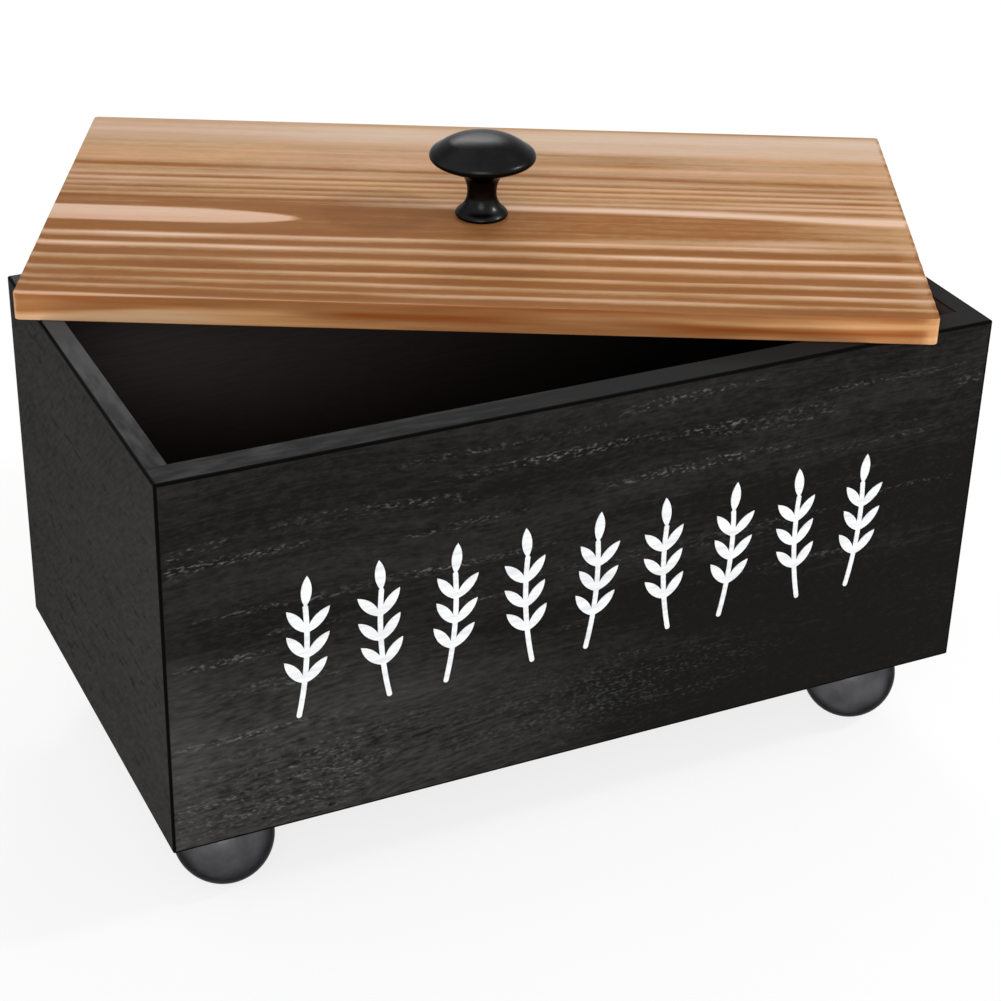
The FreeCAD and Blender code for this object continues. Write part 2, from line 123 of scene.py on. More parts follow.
class PodContainerColours(PropertyGroup):
    """Colours of the finishes."""

    stain: colour("Stain", "Black stain on the walls", "161514")
    stain_worn: colour("Worn stain", "Grey bloom where the stain is thin", "42413f")
    # The inner stains carry painted light high on the inner faces, where light falls in at the rim, and
    # painted shade low down.
    inner_stain_and_light: colour("Inner stain", "Brown-black stain high on the inner faces", "5c5451")
    inner_stain_and_shade: colour("Deep inner stain", "Stain low on the inner faces and on the bottom", "1f1a18")
    # The rim's grey is painted sheen on the walls' upper edges.
    rim: colour("Rim", "Rubbed stain on the upper edges of the walls", "4a4a4b")
    pore: colour("Pores", "Pale dashes in the open pores", "6b6b6e")
    edge_line: colour("Edge line", "Stain gathered along the eased edges", "030303")
    char: colour("Char", "Darkest part of the torched lid", "7e5233")
    scorch: colour("Scorch", "Brown between the lid's rings", "8f5f38")
    toast: colour("Toast", "Middle brown of the lid", "ad8a6a")
    crest: colour("Crests", "Pinkish wood on the lid's rings", "c79d81")
    pale: colour("Pale wood", "Palest sapwood of the lid", "d3b5a0")
    straw: colour("Straw tint", "Yellower tint that drifts over the lid", "fff9e6")
    ash: colour("Ash tint", "Cooler tint near the lid's back", "f2fcff")
    edge_dark: colour("Edge brown", "Darkest part of the lid's sawn edges", "985020")
    edge_brown: colour("Edge middle brown", "Middle brown of the lid's sawn edges", "ab7448")
    edge_amber: colour("Edge amber", "Amber streaks of the lid's sawn edges", "d29a66")
    edge_pale: colour("Edge pale", "Pale wood of the lid's sawn edges", "dab088")
    foot_paint: colour("Foot paint", "Satin black on the ball feet", "4e4e50")
    knob_paint: colour("Knob paint", "Satin black on the knob", "1e1e1e")
    sprig_paint: colour("Sprig paint", "White of the painted sprigs", "f0f2f3")
    steel: colour("Steel", "Plated steel of the screws and pins", "b4b4b2")
    floor: colour("Floor", "Floor that the container stands on", "fafafa")


class Finish:
    """A new material and its node tree, with short calls for the nodes that the finishes use."""

    def __init__(self, name):
        self.material = bpy.data.materials.new(name)
        self.material.use_nodes = True
        self.nodes = self.material.node_tree.nodes
        self.links = self.material.node_tree.links
        self.surface = self.nodes["Principled BSDF"]
        self.place = self.nodes.new("ShaderNodeTexCoord").outputs["Object"]

    def feed(self, socket, value):
        """Links an input to a node's output, or sets it to a number or a colour."""
        if isinstance(value, NodeSocket):
            self.links.new(value, socket)
        elif socket.type == "RGBA":
            socket.default_value = (*value, 1)
        else:
            socket.default_value = value

    def surface_is(self, **inputs):
        """Sets or links the surface shader's inputs, whose names are written with underscores."""
        for name, value in inputs.items():
            self.feed(self.surface.inputs[name.replace("_", " ")], value)

    def number(self, operation, *values, clamp=False):
        """A Math node."""
        node = self.nodes.new("ShaderNodeMath")
        node.operation = operation
        node.use_clamp = clamp
        for socket, value in zip(node.inputs, values):
            self.feed(socket, value)
        return node.outputs[0]

    def vector(self, operation, *values):
        """A Vector Math node."""
        node = self.nodes.new("ShaderNodeVectorMath")
        node.operation = operation
        for socket, value in zip(node.inputs, values):
            self.feed(socket, value)
        return node.outputs[0]

    def axes(self, vector):
        """The three numbers of a vector."""
        node = self.nodes.new("ShaderNodeSeparateXYZ")
        self.feed(node.inputs[0], vector)
        return node.outputs

    def noise(self, vector, scale=1.0, detail=2.0, roughness=0.5, output="Fac"):
        """A Noise Texture node."""
        node = self.nodes.new("ShaderNodeTexNoise")
        self.feed(node.inputs["Vector"], vector)
        self.feed(node.inputs["Scale"], scale)
        self.feed(node.inputs["Detail"], detail)
        self.feed(node.inputs["Roughness"], roughness)
        return node.outputs[output]

    def spread(self, value, low, high, bottom=0.0, top=1.0):
        """A Map Range node with a smooth step from low to high."""
        node = self.nodes.new("ShaderNodeMapRange")
        node.interpolation_type = "SMOOTHSTEP"
        for name, given in zip(
            ("Value", "From Min", "From Max", "To Min", "To Max"), (value, low, high, bottom, top)
        ):
            self.feed(node.inputs[name], given)
        return node.outputs["Result"]

    def ramp(self, value, *stops):
        """A colour that follows a number, through stops of (number, colour)."""
        node = self.nodes.new("ShaderNodeValToRGB")
        self.feed(node.inputs[0], value)
        elements = node.color_ramp.elements
        while len(elements) < len(stops):
            elements.new(0.5)
        for element, (position, shade) in zip(elements, stops):
            element.position = position
            element.color = (*shade, 1)
        return node.outputs["Color"]

    def mix(self, share, first, second, blend="MIX"):
        """A Mix node for colours."""
        node = self.nodes.new("ShaderNodeMix")
        node.data_type = "RGBA"
        node.blend_type = blend
        self.feed(node.inputs["Factor"], share)
        self.feed(node.inputs[6], first)
        self.feed(node.inputs[7], second)
        return node.outputs[2]

    def swayed(self, value, *patterns):
        """A number moved up and down by patterns, each with its share."""
        for pattern, share in patterns:
            sway = self.number("MULTIPLY", self.number("SUBTRACT", pattern, 0.5), share)
            value = self.number("ADD", value, sway)
        return value

    def attribute(self, name):
        """A number that the mesh holds for each vertex."""
        node = self.nodes.new("ShaderNodeAttribute")
        node.attribute_name = name
        return node.outputs["Fac"]

    def bump(self, height, distance, strength=1.0):
        """A Bump node, its distance in metres."""
        node = self.nodes.new("ShaderNodeBump")
        self.feed(node.inputs["Height"], height)
        self.feed(node.inputs["Distance"], distance)
        self.feed(node.inputs["Strength"], strength)
        return node.outputs["Normal"]


class StainedWood(Finish):
    """Black-stained open-pored boards. The fibres run along the front and back, and across the ends."""

    # Where painted shade makes the front and back darkest, low on the right: the middle, from the box's
    # middle and below the rim, half the length and half the height, in millimetres.
    SHADED_CORNER = (110, 84, 125, 70)

    # Rows where most pores are open, on the front and back, in the same way, and how open they are.
    PORE_ROWS = (
        (-8, 15, 46, 1.9, 0.8),
        (40, 16, 36, 1.6, 0.8),
        (-30, 8.5, 40, 1.4, 0.5),
        (30, 4.5, 26, 1.3, 0.6),
        (-108, 25.5, 30, 1.9, 0.7),
        (32, 27, 40, 2.0, 0.85),
        (-40, 30, 22, 1.6, 0.6),
        (-62, 42, 62, 1.6, 0.75),
        (-108, 56, 18, 1.7, 0.6),
        (-88, 66, 26, 3.0, 0.45),
        (30, 51, 60, 1.8, 0.4),
        (-98, 81, 42, 1.8, 0.9),
        (8, 85, 14, 1.8, 0.5),
        (10, 100, 24, 1.8, 0.5),
        (94, 12, 30, 1.5, 0.5),
        (86, 31, 32, 1.6, 0.45),
        (102, 49, 24, 1.6, 0.35),
        (60, 66, 40, 1.8, 0.3),
        (-4, 96, 80, 15, 0.22),
        (-98, 99, 46, 16, 0.6),
    )

    def __init__(self, name, colours):
        super().__init__(name)
        wander = self.noise(self.place, 11.0, detail=1.0, output="Color")
        centred = self.vector("SUBTRACT", wander, (0.5, 0.5, 0.5))
        self.wandering = self.vector("MULTIPLY_ADD", centred, (0.012, 0.012, 0.012), self.place)
        self.measure_walls()

        fibres = self.noise(self.along_grain(60, 1400), detail=3.0, roughness=0.6)
        pores = self.pores()
        tone = self.mix(self.crosswise, self.side_tone(fibres), self.end_tone(fibres))
        outside = self.mix(pores, self.mix(tone, colours.stain, colours.stain_worn), colours.pore)
        # The rim gets painted sheen and the lid's painted shadow.
        on_rim = self.spread(self.below_rim, 0.3 * MM, 0.7 * MM, 1.0, 0.0)
        topped = self.mix(on_rim, outside, self.rim_sheen_and_shadow(colours))
        # Inner faces: painted light near the rim, fading to painted shade towards the bottom.
        sunk = self.spread(self.below_rim, 2 * MM, 75 * MM)
        inner = self.mix(sunk, colours.inner_stain_and_light, colours.inner_stain_and_shade)
        fibrous = self.mix(self.spread(fibres, 0.3, 0.7, 0.0, 0.2), inner, colours.stain)
        whole = self.mix(self.is_inside(), topped, fibrous)
        at_edge = self.spread(self.from_edge, 0.6 * MM, 1.0 * MM, 1.0, 0.0)
        self.surface_is(
            Base_Color=self.mix(at_edge, whole, colours.edge_line),
            Roughness=0.75,
            Specular_IOR_Level=0.035,
            Normal=self.bump(fibres, 0.05 * MM, 0.5),
        )

    def rim_sheen_and_shadow(self, colours):
        """Colour of the walls' upper edges: grey at the back left as painted sheen, with mottles, and
        blacker to the front and right as painted shadow of the lid.
        """
        grime = self.spread(self.noise(self.along_grain(90, 420), detail=3.0), 0.3, 0.7, 0.05, 0.45)
        # Painted shadow of the lid, deeper to the front and to the right.
        shadow_to_front = self.number("MULTIPLY", self.towards_back, -7.5)
        rightward = self.spread(self.along_front, -100 * MM, 60 * MM, 0.0, 0.5)
        shadow_and_grime = self.number("ADD", self.number("ADD", shadow_to_front, rightward), grime)
        return self.mix(self.spread(shadow_and_grime, 0.0, 1.0, 0.0, 0.87), colours.rim, colours.stain)

    def side_tone(self, fibres):
        """How worn the stain is on the front and back: palest low on the left, with painted shade low on the
        right.
        """
        mottles = self.noise(self.along_grain(190, 520), detail=3.0, roughness=0.6)
        bloom = self.noise(self.along_grain(9, 60), detail=3.0)
        flecks = self.noise(self.along_grain(420, 900), detail=2.0)
        strokes = self.noise(self.slanted(0.1, 190, 900), detail=2.0)
        worn_corner = self.near(-120, 104, 125, 56)
        worn_edge = self.near(-126, 84, 20, 46)
        painted_shade = self.near(*self.SHADED_CORNER)
        tone = self.swayed(0.105, (fibres, 0.4), (mottles, 0.4), (bloom, 0.6), (flecks, 0.35))
        tone = self.swayed(tone, (strokes, self.number("MULTIPLY", worn_corner, 1.6)))
        tone = self.number("MULTIPLY_ADD", worn_edge, 0.25, tone)
        tone = self.number("MULTIPLY_ADD", worn_corner, 0.37, tone)
        # Painted shade low on the right of the front and back.
        return self.number("MULTIPLY_ADD", painted_shade, -0.16, tone, clamp=True)

    def end_tone(self, fibres):
        """How pale the stain is on the ends: paler than on the front and back as painted light, nearly even,
        with short dark streaks, and paler towards the front than towards the back.
        """
        mottles = self.noise(self.along_grain(210, 560), detail=3.0, roughness=0.6)
        bloom = self.noise(self.along_grain(14, 40), detail=3.0)
        strokes = self.noise(self.slanted(0.64, 150, 800), detail=2.0)
        streaks = self.spread(self.noise(self.along_grain(120, 480), detail=1.0), 0.58, 0.7)
        patches = self.spread(bloom, 0.42, 0.6, 0.3, 1.0)
        # A paler start than on the front and back: painted light on the ends.
        tone = self.swayed(0.31, (fibres, 0.3), (mottles, 0.35), (bloom, 0.35), (strokes, 0.7))
        tone = self.number("MULTIPLY_ADD", self.number("MULTIPLY", streaks, patches), -0.3, tone)
        # Paler towards the front of each end and darker towards the back.
        return self.number("MULTIPLY_ADD", self.towards_back, -1.6, tone, clamp=True)

    def along_grain(self, lengthwise, across):
        """Coordinates for a pattern, with its scale along and across the fibres."""
        scale = self.mix(self.crosswise, (lengthwise, across, across), (across, lengthwise, across))
        return self.vector("MULTIPLY", self.wandering, scale)

    def slanted(self, slope, lengthwise, across):
        """Coordinates for brush strokes that rise to the right on the front and on the left end."""
        level, rise = math.cos(slope), math.sin(slope)
        join = self.nodes.new("ShaderNodeCombineXYZ")
        for socket, direction, scale in (
            (join.inputs[0], (level, -level, rise), lengthwise),
            (join.inputs[1], (-rise, rise, level), across),
        ):
            parts = self.axes(self.vector("MULTIPLY", self.wandering, [scale * d for d in direction]))
            self.feed(socket, self.number("ADD", self.number("ADD", parts[0], parts[1]), parts[2]))
        return join.outputs[0]

    def measure_walls(self):
        """Distances from the walls' outer faces, their rim and their outer edges."""
        box = [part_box(name) for name in WALLS]
        high = Vector(map(max, *(corners[1] for corners in box)))
        foot = min(corners[0].z for corners in box)
        side_wall, end_wall = node_size("front_panel").y, node_size("left_end_panel").x
        x, y, z = self.axes(self.place)
        from_end = self.number("SUBTRACT", high.x, self.number("ABSOLUTE", x))
        self.from_side = self.number("SUBTRACT", high.y, self.number("ABSOLUTE", y))
        self.below_rim = self.number("SUBTRACT", high.z, z)
        self.above_foot = self.number("SUBTRACT", z, foot)
        self.from_outside = self.number("MINIMUM", from_end, self.from_side)
        other = self.number("MAXIMUM", from_end, self.from_side)
        level = self.number("MINIMUM", self.below_rim, self.above_foot)
        self.from_edge = self.number("ADD", self.from_outside, self.number("MINIMUM", other, level))
        self.along_front, self.towards_back = x, y
        outer_end = self.spread(from_end, 0.4 * MM, 0.6 * MM, 1.0, 0.0)
        between_sides = self.spread(self.from_side, side_wall, side_wall + 0.1 * MM)
        in_end = self.spread(from_end, end_wall + 0.1 * MM, end_wall + 0.2 * MM, 1.0, 0.0)
        self.crosswise = self.number("MAXIMUM", outer_end, self.number("MULTIPLY", between_sides, in_end))

    def is_inside(self):
        """1 on the inner faces, and 0 on the outer ones, the rim and the underside."""
        deep = self.spread(self.from_outside, 2.0 * MM, 3.0 * MM)
        below = self.number("MULTIPLY", deep, self.spread(self.below_rim, 0.3 * MM, 0.7 * MM))
        return self.number("MULTIPLY", below, self.spread(self.above_foot, 0.3 * MM, 0.7 * MM))

    def near(self, across, below, wide, tall):
        """1 at a place on the front, and 0 outside an ellipse round it. Lengths are in millimetres."""
        sideways = self.number("MULTIPLY_ADD", self.along_front, 1 / (wide * MM), -across / wide)
        downward = self.number("MULTIPLY_ADD", self.below_rim, 1 / (tall * MM), -below / tall)
        square = self.number("MULTIPLY", downward, downward)
        return self.spread(self.number("MULTIPLY_ADD", sideways, sideways, square), 0.05, 1.1, 1.0, 0.0)

    def pores(self):
        """Pale dashes along the fibres, most in the rows of open pores."""
        dashes = self.spread(self.noise(self.along_grain(620, 1500), detail=1.0), 0.48, 0.78)
        threads = self.spread(self.noise(self.along_grain(22, 500), detail=1.0), 0.36, 0.6, 0.25, 1.0)
        lines = self.spread(self.noise(self.along_grain(3, 150), detail=0.0), 0.56, 0.66)
        clusters = self.spread(self.noise(self.along_grain(30, 120), detail=1.0), 0.5, 0.62)
        # Fewer pale pores show in the painted shade.
        outside_shade = self.number("SUBTRACT", 1.0, self.near(*self.SHADED_CORNER))
        scattered = self.number("MULTIPLY", self.number("MULTIPLY", lines, clusters), outside_shade)
        open_here = self.number("MULTIPLY_ADD", scattered, 0.45, 0.03)
        for across, below, wide, tall, openness in self.PORE_ROWS:
            row = self.number("MULTIPLY", self.near(across, below, wide, tall), openness)
            open_here = self.number("MAXIMUM", open_here, row)
        outer = self.spread(self.from_side, 0.2 * MM, 0.6 * MM, 1.0, 0.0)
        clear = self.number("MULTIPLY", outer, self.spread(self.from_edge, 1.0 * MM, 2.5 * MM))
        shown = self.number("MULTIPLY", open_here, clear)
        return self.number("MULTIPLY", self.number("MULTIPLY", dashes, threads), shown)


class BoardFinish(Finish):
    """A finish whose patterns run along the lid board as it lies turned on the box."""

    def __init__(self, name, centre, turn):
        super().__init__(name)
        mapping = self.nodes.new("ShaderNodeMapping")
        mapping.vector_type = "TEXTURE"
        mapping.inputs["Location"].default_value = centre
        mapping.inputs["Rotation"].default_value = (0, 0, turn)
        self.feed(mapping.inputs["Vector"], self.place)
        self.place = mapping.outputs[0]


def torched_face(colours, centre, turn):
    """Torched and brushed face of the lid, which follows the paleness that its mesh holds."""
    finish = BoardFinish("torched_face", centre, turn)
    paleness = finish.attribute("paleness")
    # The palest wood shows its fibres least.
    calm = finish.spread(paleness, 0.66, 0.9, 1.0, 0.3)
    patterns = []
    for lengthwise, across, detail, share in (
        (28, 1100, 4.0, 0.28),
        (7, 260, 3.0, 0.55),
        (24, 110, 3.0, 0.35),
        (260, 900, 2.0, 0.22),
    ):
        spread_out = finish.vector("MULTIPLY", finish.place, (lengthwise, across, across))
        pattern = finish.noise(spread_out, detail=detail, roughness=0.6)
        patterns.append((pattern, finish.number("MULTIPLY", calm, share)))
    fibres = patterns[0][0]
    browned = finish.ramp(
        finish.swayed(paleness, *patterns),
        (0.0, colours.char),
        (0.3, colours.scorch),
        (0.6, colours.toast),
        (0.85, colours.crest),
        (1.0, colours.pale),
    )
    tints = finish.noise(finish.vector("MULTIPLY", finish.place, (9, 75, 75)), detail=2.0)
    tinted = finish.number("MULTIPLY", finish.spread(tints, 0.4, 0.62, 0.0, 0.8), calm)
    shade = finish.mix(tinted, browned, colours.straw, "MULTIPLY")
    rearward = finish.spread(finish.axes(finish.place)[1], 40 * MM, 54 * MM)
    finish.surface_is(
        Base_Color=finish.mix(rearward, shade, colours.ash, "MULTIPLY"),
        Roughness=finish.spread(fibres, 0.2, 0.8, 0.6, 0.75),
        Specular_IOR_Level=0.02,
        Normal=finish.bump(fibres, 0.06 * MM, 0.6),
    )
    return finish.material


def sawn_edge(colours, centre, turn):
    """Sawn and oiled edges of the lid."""
    finish = BoardFinish("sawn_edge", centre, turn)
    fibres = finish.noise(finish.vector("MULTIPLY", finish.place, (16, 700, 900)), detail=3.0)
    streaks = finish.noise(finish.vector("MULTIPLY", finish.place, (22, 300, 480)), detail=3.0)
    clouds = finish.noise(finish.vector("MULTIPLY", finish.place, (22, 120, 160)), detail=2.0)
    paleness = finish.attribute("paleness")
    shade = finish.ramp(
        finish.swayed(paleness, (fibres, 0.25), (streaks, 0.6), (clouds, 0.4)),
        (0.0, colours.edge_dark),
        (0.35, colours.edge_brown),
        (0.7, colours.edge_amber),
        (0.9, colours.edge_pale),
    )
    finish.surface_is(
        Base_Color=shade,
        Roughness=0.55,
        Specular_IOR_Level=0.05,
        Normal=finish.bump(fibres, 0.05 * MM, 0.5),
    )
    return finish.material


def satin_paint(name, shade, roughness, clear, gloss):
    """Satin black enamel, cloudy and uneven in its gloss, under a clear coat with an IOR and a roughness.

    It is metallic, with a black tint at grazing angles, so that its outline stays dark with white all round.
    """
    finish = Finish(name)
    strokes = finish.noise(finish.vector("MULTIPLY", finish.place, (160, 160, 700)), detail=2.0)
    clouds = finish.spread(finish.noise(finish.place, 120.0, detail=3.0), 0.3, 0.7)
    finish.surface_is(
        Base_Color=finish.mix(clouds, [0.8 * c for c in shade], [1.3 * c for c in shade]),
        Metallic=1.0,
        Specular_Tint=(0.0, 0.0, 0.0),
        Roughness=finish.spread(strokes, 0.2, 0.8, roughness - 0.04, roughness + 0.05),
        Coat_Weight=1.0,
        Coat_IOR=clear,
        Coat_Roughness=gloss,
        Normal=finish.bump(strokes, 0.02 * MM, 0.5),
    )
    return finish.material


def chalky_paint(colours):
    """White paint of the sprigs, thin enough to let the board's fibres through."""
    finish = Finish("chalky_paint")
    fibres = finish.noise(finish.vector("MULTIPLY", finish.place, (90, 900, 900)), detail=2.0)
    thin = [0.82 * c for c in colours.sprig_paint]
    finish.surface_is(
        Base_Color=finish.ramp(fibres, (0.3, thin), (0.6, colours.sprig_paint)),
        Roughness=0.7,
        Specular_IOR_Level=0.3,
        Normal=finish.bump(fibres, 0.03 * MM, 0.6),
    )
    return finish.material


def plated_steel(colours):
    """Plated steel of screws and pins, with fine turning marks."""
    finish = Finish("plated_steel")
    marks = finish.noise(finish.vector("MULTIPLY", finish.place, (900, 900, 5000)), detail=2.0)
    finish.surface_is(
        Base_Color=finish.ramp(marks, (0.3, [0.7 * c for c in colours.steel]), (0.7, colours.steel)),
        Metallic=1.0,
        Roughness=finish.spread(marks, 0.2, 0.8, 0.28, 0.42),
        Normal=finish.bump(marks, 0.01 * MM, 0.4),
    )
    return finish.material


def wear(piece, *materials):
    """Gives a piece its materials, in place of any that it has."""
    piece.data.materials.clear()
    for material in materials:
        piece.data.materials.append(material)


def new_piece(name, vertices, faces, smooth=True):
    """A mesh object from arrays of vertices and faces."""
    mesh = bpy.data.meshes.new(name)
    mesh.from_pydata(np.asarray(vertices).tolist(), [], [list(map(int, f)) for f in faces])
    mesh.polygons.foreach_set("use_smooth", [smooth] * len(mesh.polygons))
    mesh.update()
    piece = bpy.data.objects.new(name, mesh)
    bpy.context.scene.collection.objects.link(piece)
    return piece


def hold(piece, name, values):
    """Stores a number for each vertex, for an Attribute node to read."""
    attribute = piece.data.attributes.new(name, "FLOAT", "POINT")
    attribute.data.foreach_set("value", np.asarray(values, np.float32))


def divided_box(xs, ys, zs):
    """Vertices and outward quads of a closed box whose faces are divided at the given places."""
    shape = len(xs), len(ys), len(zs)
    outer = np.zeros(shape, bool)
    for axis in range(3):
        layers = np.moveaxis(outer, axis, 0)
        layers[0] = layers[-1] = True
    number = np.full(shape, -1)
    number[outer] = np.arange(outer.sum())
    vertices = np.stack(np.meshgrid(xs, ys, zs, indexing="ij"), -1)[outer]
    quads = []
    for axis in range(3):
        layers = np.moveaxis(number, axis, 0)
        for end in (0, -1):
            side = layers[end]
            corners = [side[:-1, :-1], side[1:, :-1], side[1:, 1:], side[:-1, 1:]]
            if (axis == 1) != (end == 0):
                corners.reverse()
            quads.append(np.stack(corners, -1).reshape(-1, 4))
    return vertices, np.concatenate(quads)


def eased(places, half, corner, edge):
    """Places on a box, moved so that its corners in plan and its top and bottom edges are rounded.

    inset and depth are how far a place lies from the side and from the top or underside, up to the edge.
    """
    sign = np.sign(places)
    plan = np.abs(places[:, :2])
    inner = half[:2] - corner
    over = np.maximum(plan - inner, 0)
    reach = np.hypot(*over.T)
    outward = over / np.maximum(reach, 1e-12)[:, None]
    inset = np.clip(corner - over.max(1), 0, edge)
    depth = np.clip(half[2] - np.abs(places[:, 2]), 0, edge)
    bend = np.hypot(edge - inset, edge - depth)
    kept = np.where((inset < edge) & (depth < edge), edge / np.maximum(bend, 1e-12), 1.0)
    inward = edge - (edge - inset) * kept
    sunk = edge - (edge - depth) * kept
    moved = places.copy()
    radius = corner - np.where(inset < edge, inward, corner - over.max(1))
    new_plan = np.where(over > 0, inner + outward * radius[:, None], plan)
    moved[:, :2] = sign[:, :2] * new_plan
    moved[:, 2] = sign[:, 2] * (np.abs(places[:, 2]) + depth - sunk)
    return moved


def stations(half, spacing, edge):
    """Places from one end to the other: evenly spaced, and closer over the rounded edge."""
    close = np.array([0, 0.15, 0.4, 0.7, 1.0, 2.2, 4.0]) * edge
    far = np.linspace(-half + 7 * edge, half - 7 * edge, round(2 * half / spacing))
    return np.concatenate([-half + close, far, half - close[::-1]])


# The growth rings that stand up from the brushed face, from the front of the lid to its back. Each has
# the place where it crosses the lid, at the left end and at the right, half its width, its paleness at
# both ends beside the wood round it, and its share of the relief. Lengths are in millimetres.
COARSE_RINGS = (
    (-69.6, -71.8, 1.4, 0.95, 0.15, 1.0),
    (-62.6, -65.2, 1.4, 0.64, 0.76, 0.8),
    (-57.2, -59.2, 1.5, 0.64, 0.78, 0.9),
    (-50.4, -51.8, 1.5, 0.74, 0.74, 0.9),
    (-42.9, -42.7, 2.1, 0.78, 0.97, 1.0),
    (-34.0, -33.3, 1.9, 0.96, 0.99, 1.0),
    (-26.3, -24.4, 1.8, 0.96, 0.84, 1.0),
    (-22.5, -20.8, 2.0, 0.00, 0.72, 0.5),
)
FINE_RINGS = (
    (5.4, 6.0, 1.3, 0.26, 0.72, 1.0),
    (9.6, 9.4, 1.3, 0.24, 0.62, 1.0),
    (13.8, 14.1, 1.3, 0.28, 0.72, 1.0),
    (17.5, 18.6, 1.3, 0.60, 0.58, 1.0),
    (22.1, 23.2, 1.4, 0.52, 0.36, 1.0),
    (26.8, 25.6, 1.3, 0.24, 0.00, 0.8),
    (30.8, 30.6, 1.5, 0.00, 0.32, 0.4),
    (34.3, 35.2, 1.4, 0.20, 0.42, 0.3),
    (52.0, 49.0, 3.0, 0.00, 0.40, 0.0),
)
# Dark lines between them: place at both ends, half the width, and darkness at both ends.
DARK_LINES = (
    (3.0, 3.6, 1.0, 0.60, 0.25),
    (7.6, 7.8, 1.0, 0.40, 0.20),
    (11.3, 11.8, 1.1, 0.40, 0.30),
    (15.4, 16.6, 1.0, 0.25, 0.38),
    (20.0, 21.2, 1.1, 0.32, 0.30),
    (29.7, 27.2, 1.7, 0.48, 0.48),
    (48.6, 44.0, 1.6, 0.08, 0.10),
    (67.6, 69.4, 1.3, 0.12, 0.30),
)
# Paleness of the wood between the rings, at places in millimetres from the front edge to the back one.
GROUND = (
    (-71, 0.16), (-47, 0.15), (-28, 0.18), (-20, 0.26), (-8, 0.26), (0, 0.26), (3, 0.42), (12, 0.50),
    (24, 0.50), (31, 0.56), (38, 0.66), (46, 0.66), (50, 0.74), (54, 0.88), (60, 0.96), (66, 0.92),
    (71, 0.82),
)


def step(value, low, high):
    """Smooth step from 0 at low to 1 at high."""
    share = np.clip((value - low) / (high - low), 0, 1)
    return share * share * (3 - 2 * share)


# In the functions below, along runs from -1 to 1 over the lid's length, and across is in millimetres from
# its middle, to the back.


def ring_bump(along, across, left, right, width):
    """How much of a ring's crest is at a place, 0 to 1."""
    wave = 0.35 * np.sin(2.3 * along + 0.11 * left) + 0.15 * np.sin(6.1 * along + 0.7 * left)
    wave = wave + 0.09 * np.sin(17 * along + 1.3 * left)
    offset = across - (left + (right - left) * step(along, -1, 1) + wave)
    steepness = np.where(offset > 0, 0.85, 1.15)
    return np.exp(-((np.abs(offset) / width * steepness) ** 2))


def ground_paleness(along, across):
    """Paleness of the wood between the rings, with the dark lines in it."""
    rightward = step(along, -1, 1)
    pale = np.interp(across, *zip(*GROUND))
    browned_band = step(across, 34, 38) * step(across, 50, 46)
    pale = pale + browned_band * (0.04 - 0.18 * np.exp(-(((along - 0.28) / 0.3) ** 2)))
    pale = pale - 0.07 * step(across, 49, 55) * step(along, -0.3, -0.9)
    for left, right, width, dark_left, dark_right in DARK_LINES:
        depth = dark_left + (dark_right - dark_left) * rightward
        depth = depth * (0.9 + 0.25 * np.sin(4.7 * along + 2.1 * left))
        pale = pale * (1 - ring_bump(along, across, left, right, width) * depth)
    return pale


def flame_share(along, across):
    """How much of the pale flame, which starts at the left end and points to the right, is at a place."""
    reach = np.clip((-0.41 - along) / 0.59, 0, 1)
    half_height = 5.8 * (1 - np.exp(-6.4 * reach)) ** 0.9
    return step(half_height - np.abs(across + 11.5 - 1.1 * reach), -0.7, 0.9) * step(reach, 0, 0.05)


def strip_share(along, across):
    """How much of the pale strip, which runs from the knob to the right end, is at a place."""
    centre = 1.2 - 3.6 * step(along, 0.25, 1.1)
    half_height = 2.5 + 0.9 * step(along, 0.6, 1.0)
    return np.exp(-((np.abs(across - centre) / half_height) ** 3)) * step(along, -0.5, 0.15)


def lid_grain(along, across):
    """Paleness of the brushed face, and how deep the brush has cut, as shares of both reliefs."""
    rightward = step(along, -1, 1)
    pale = ground_paleness(along, across)
    standing = np.zeros_like(across)
    for left, right, width, pale_left, pale_right, relief in COARSE_RINGS + FINE_RINGS:
        crest = ring_bump(along, across, left, right, width)
        strength = pale_left + (pale_right - pale_left) * rightward
        sway = 0.94 + 0.1 * np.sin(5.3 * along + 1.7 * left) + 0.06 * np.sin(14 * along + 2.9 * left)
        strength = strength * sway
        # The coarse rings, at the front, rise to their own paleness. The fine ones add to what is there.
        pale = pale + crest * (np.maximum(strength - pale, 0) if left < 0 else 0.5 * strength)
        standing = np.maximum(standing, crest * relief)
    pale = pale + (0.95 - 0.05 * step(across, -10, -15) - pale) * flame_share(along, across)
    pale = pale + (1.0 - pale) * strip_share(along, across)

    faded_end = step(along, 0.6, 0.95) * step(across, -22, -18) * step(across, 0, -4)
    pale = pale + faded_end * 0.2
    pale = pale + 0.3 * np.maximum(0.8 - pale, 0) * step(along, 0.93, 0.985)
    # Darker along the very right end: painted shade where the end rounds over.
    shaded_end = step(along, 0.989, 0.997) * (0.6 + 0.4 * np.sin(0.9 * across + 1.3 * np.sin(0.37 * across)))
    pale = pale * (1 - 0.45 * shaded_end)

    coarse = step(across, -19, -24)
    fine = step(across, 3.5, 6) * step(across, 36, 31)
    cut = (1 - standing) * (1 - 0.7 * step(along, -0.975, -0.998) - 0.4 * step(along, 0.985, 0.999))
    return np.clip(pale, 0, 1), coarse * cut, fine * cut


class PODCONTAINER_OT_stained_walls(Operator):
    """Stains the four walls and the bottom panel"""

    bl_idname = "pod_container.stained_walls"
    bl_label = "Stained Walls"

    def execute(self, context):
        colours = context.scene.pod_container_colours
        stained = StainedWood("stained_wood", colours).material
        for name in WALLS:
            wear(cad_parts[name], stained)
        return {"FINISHED"}


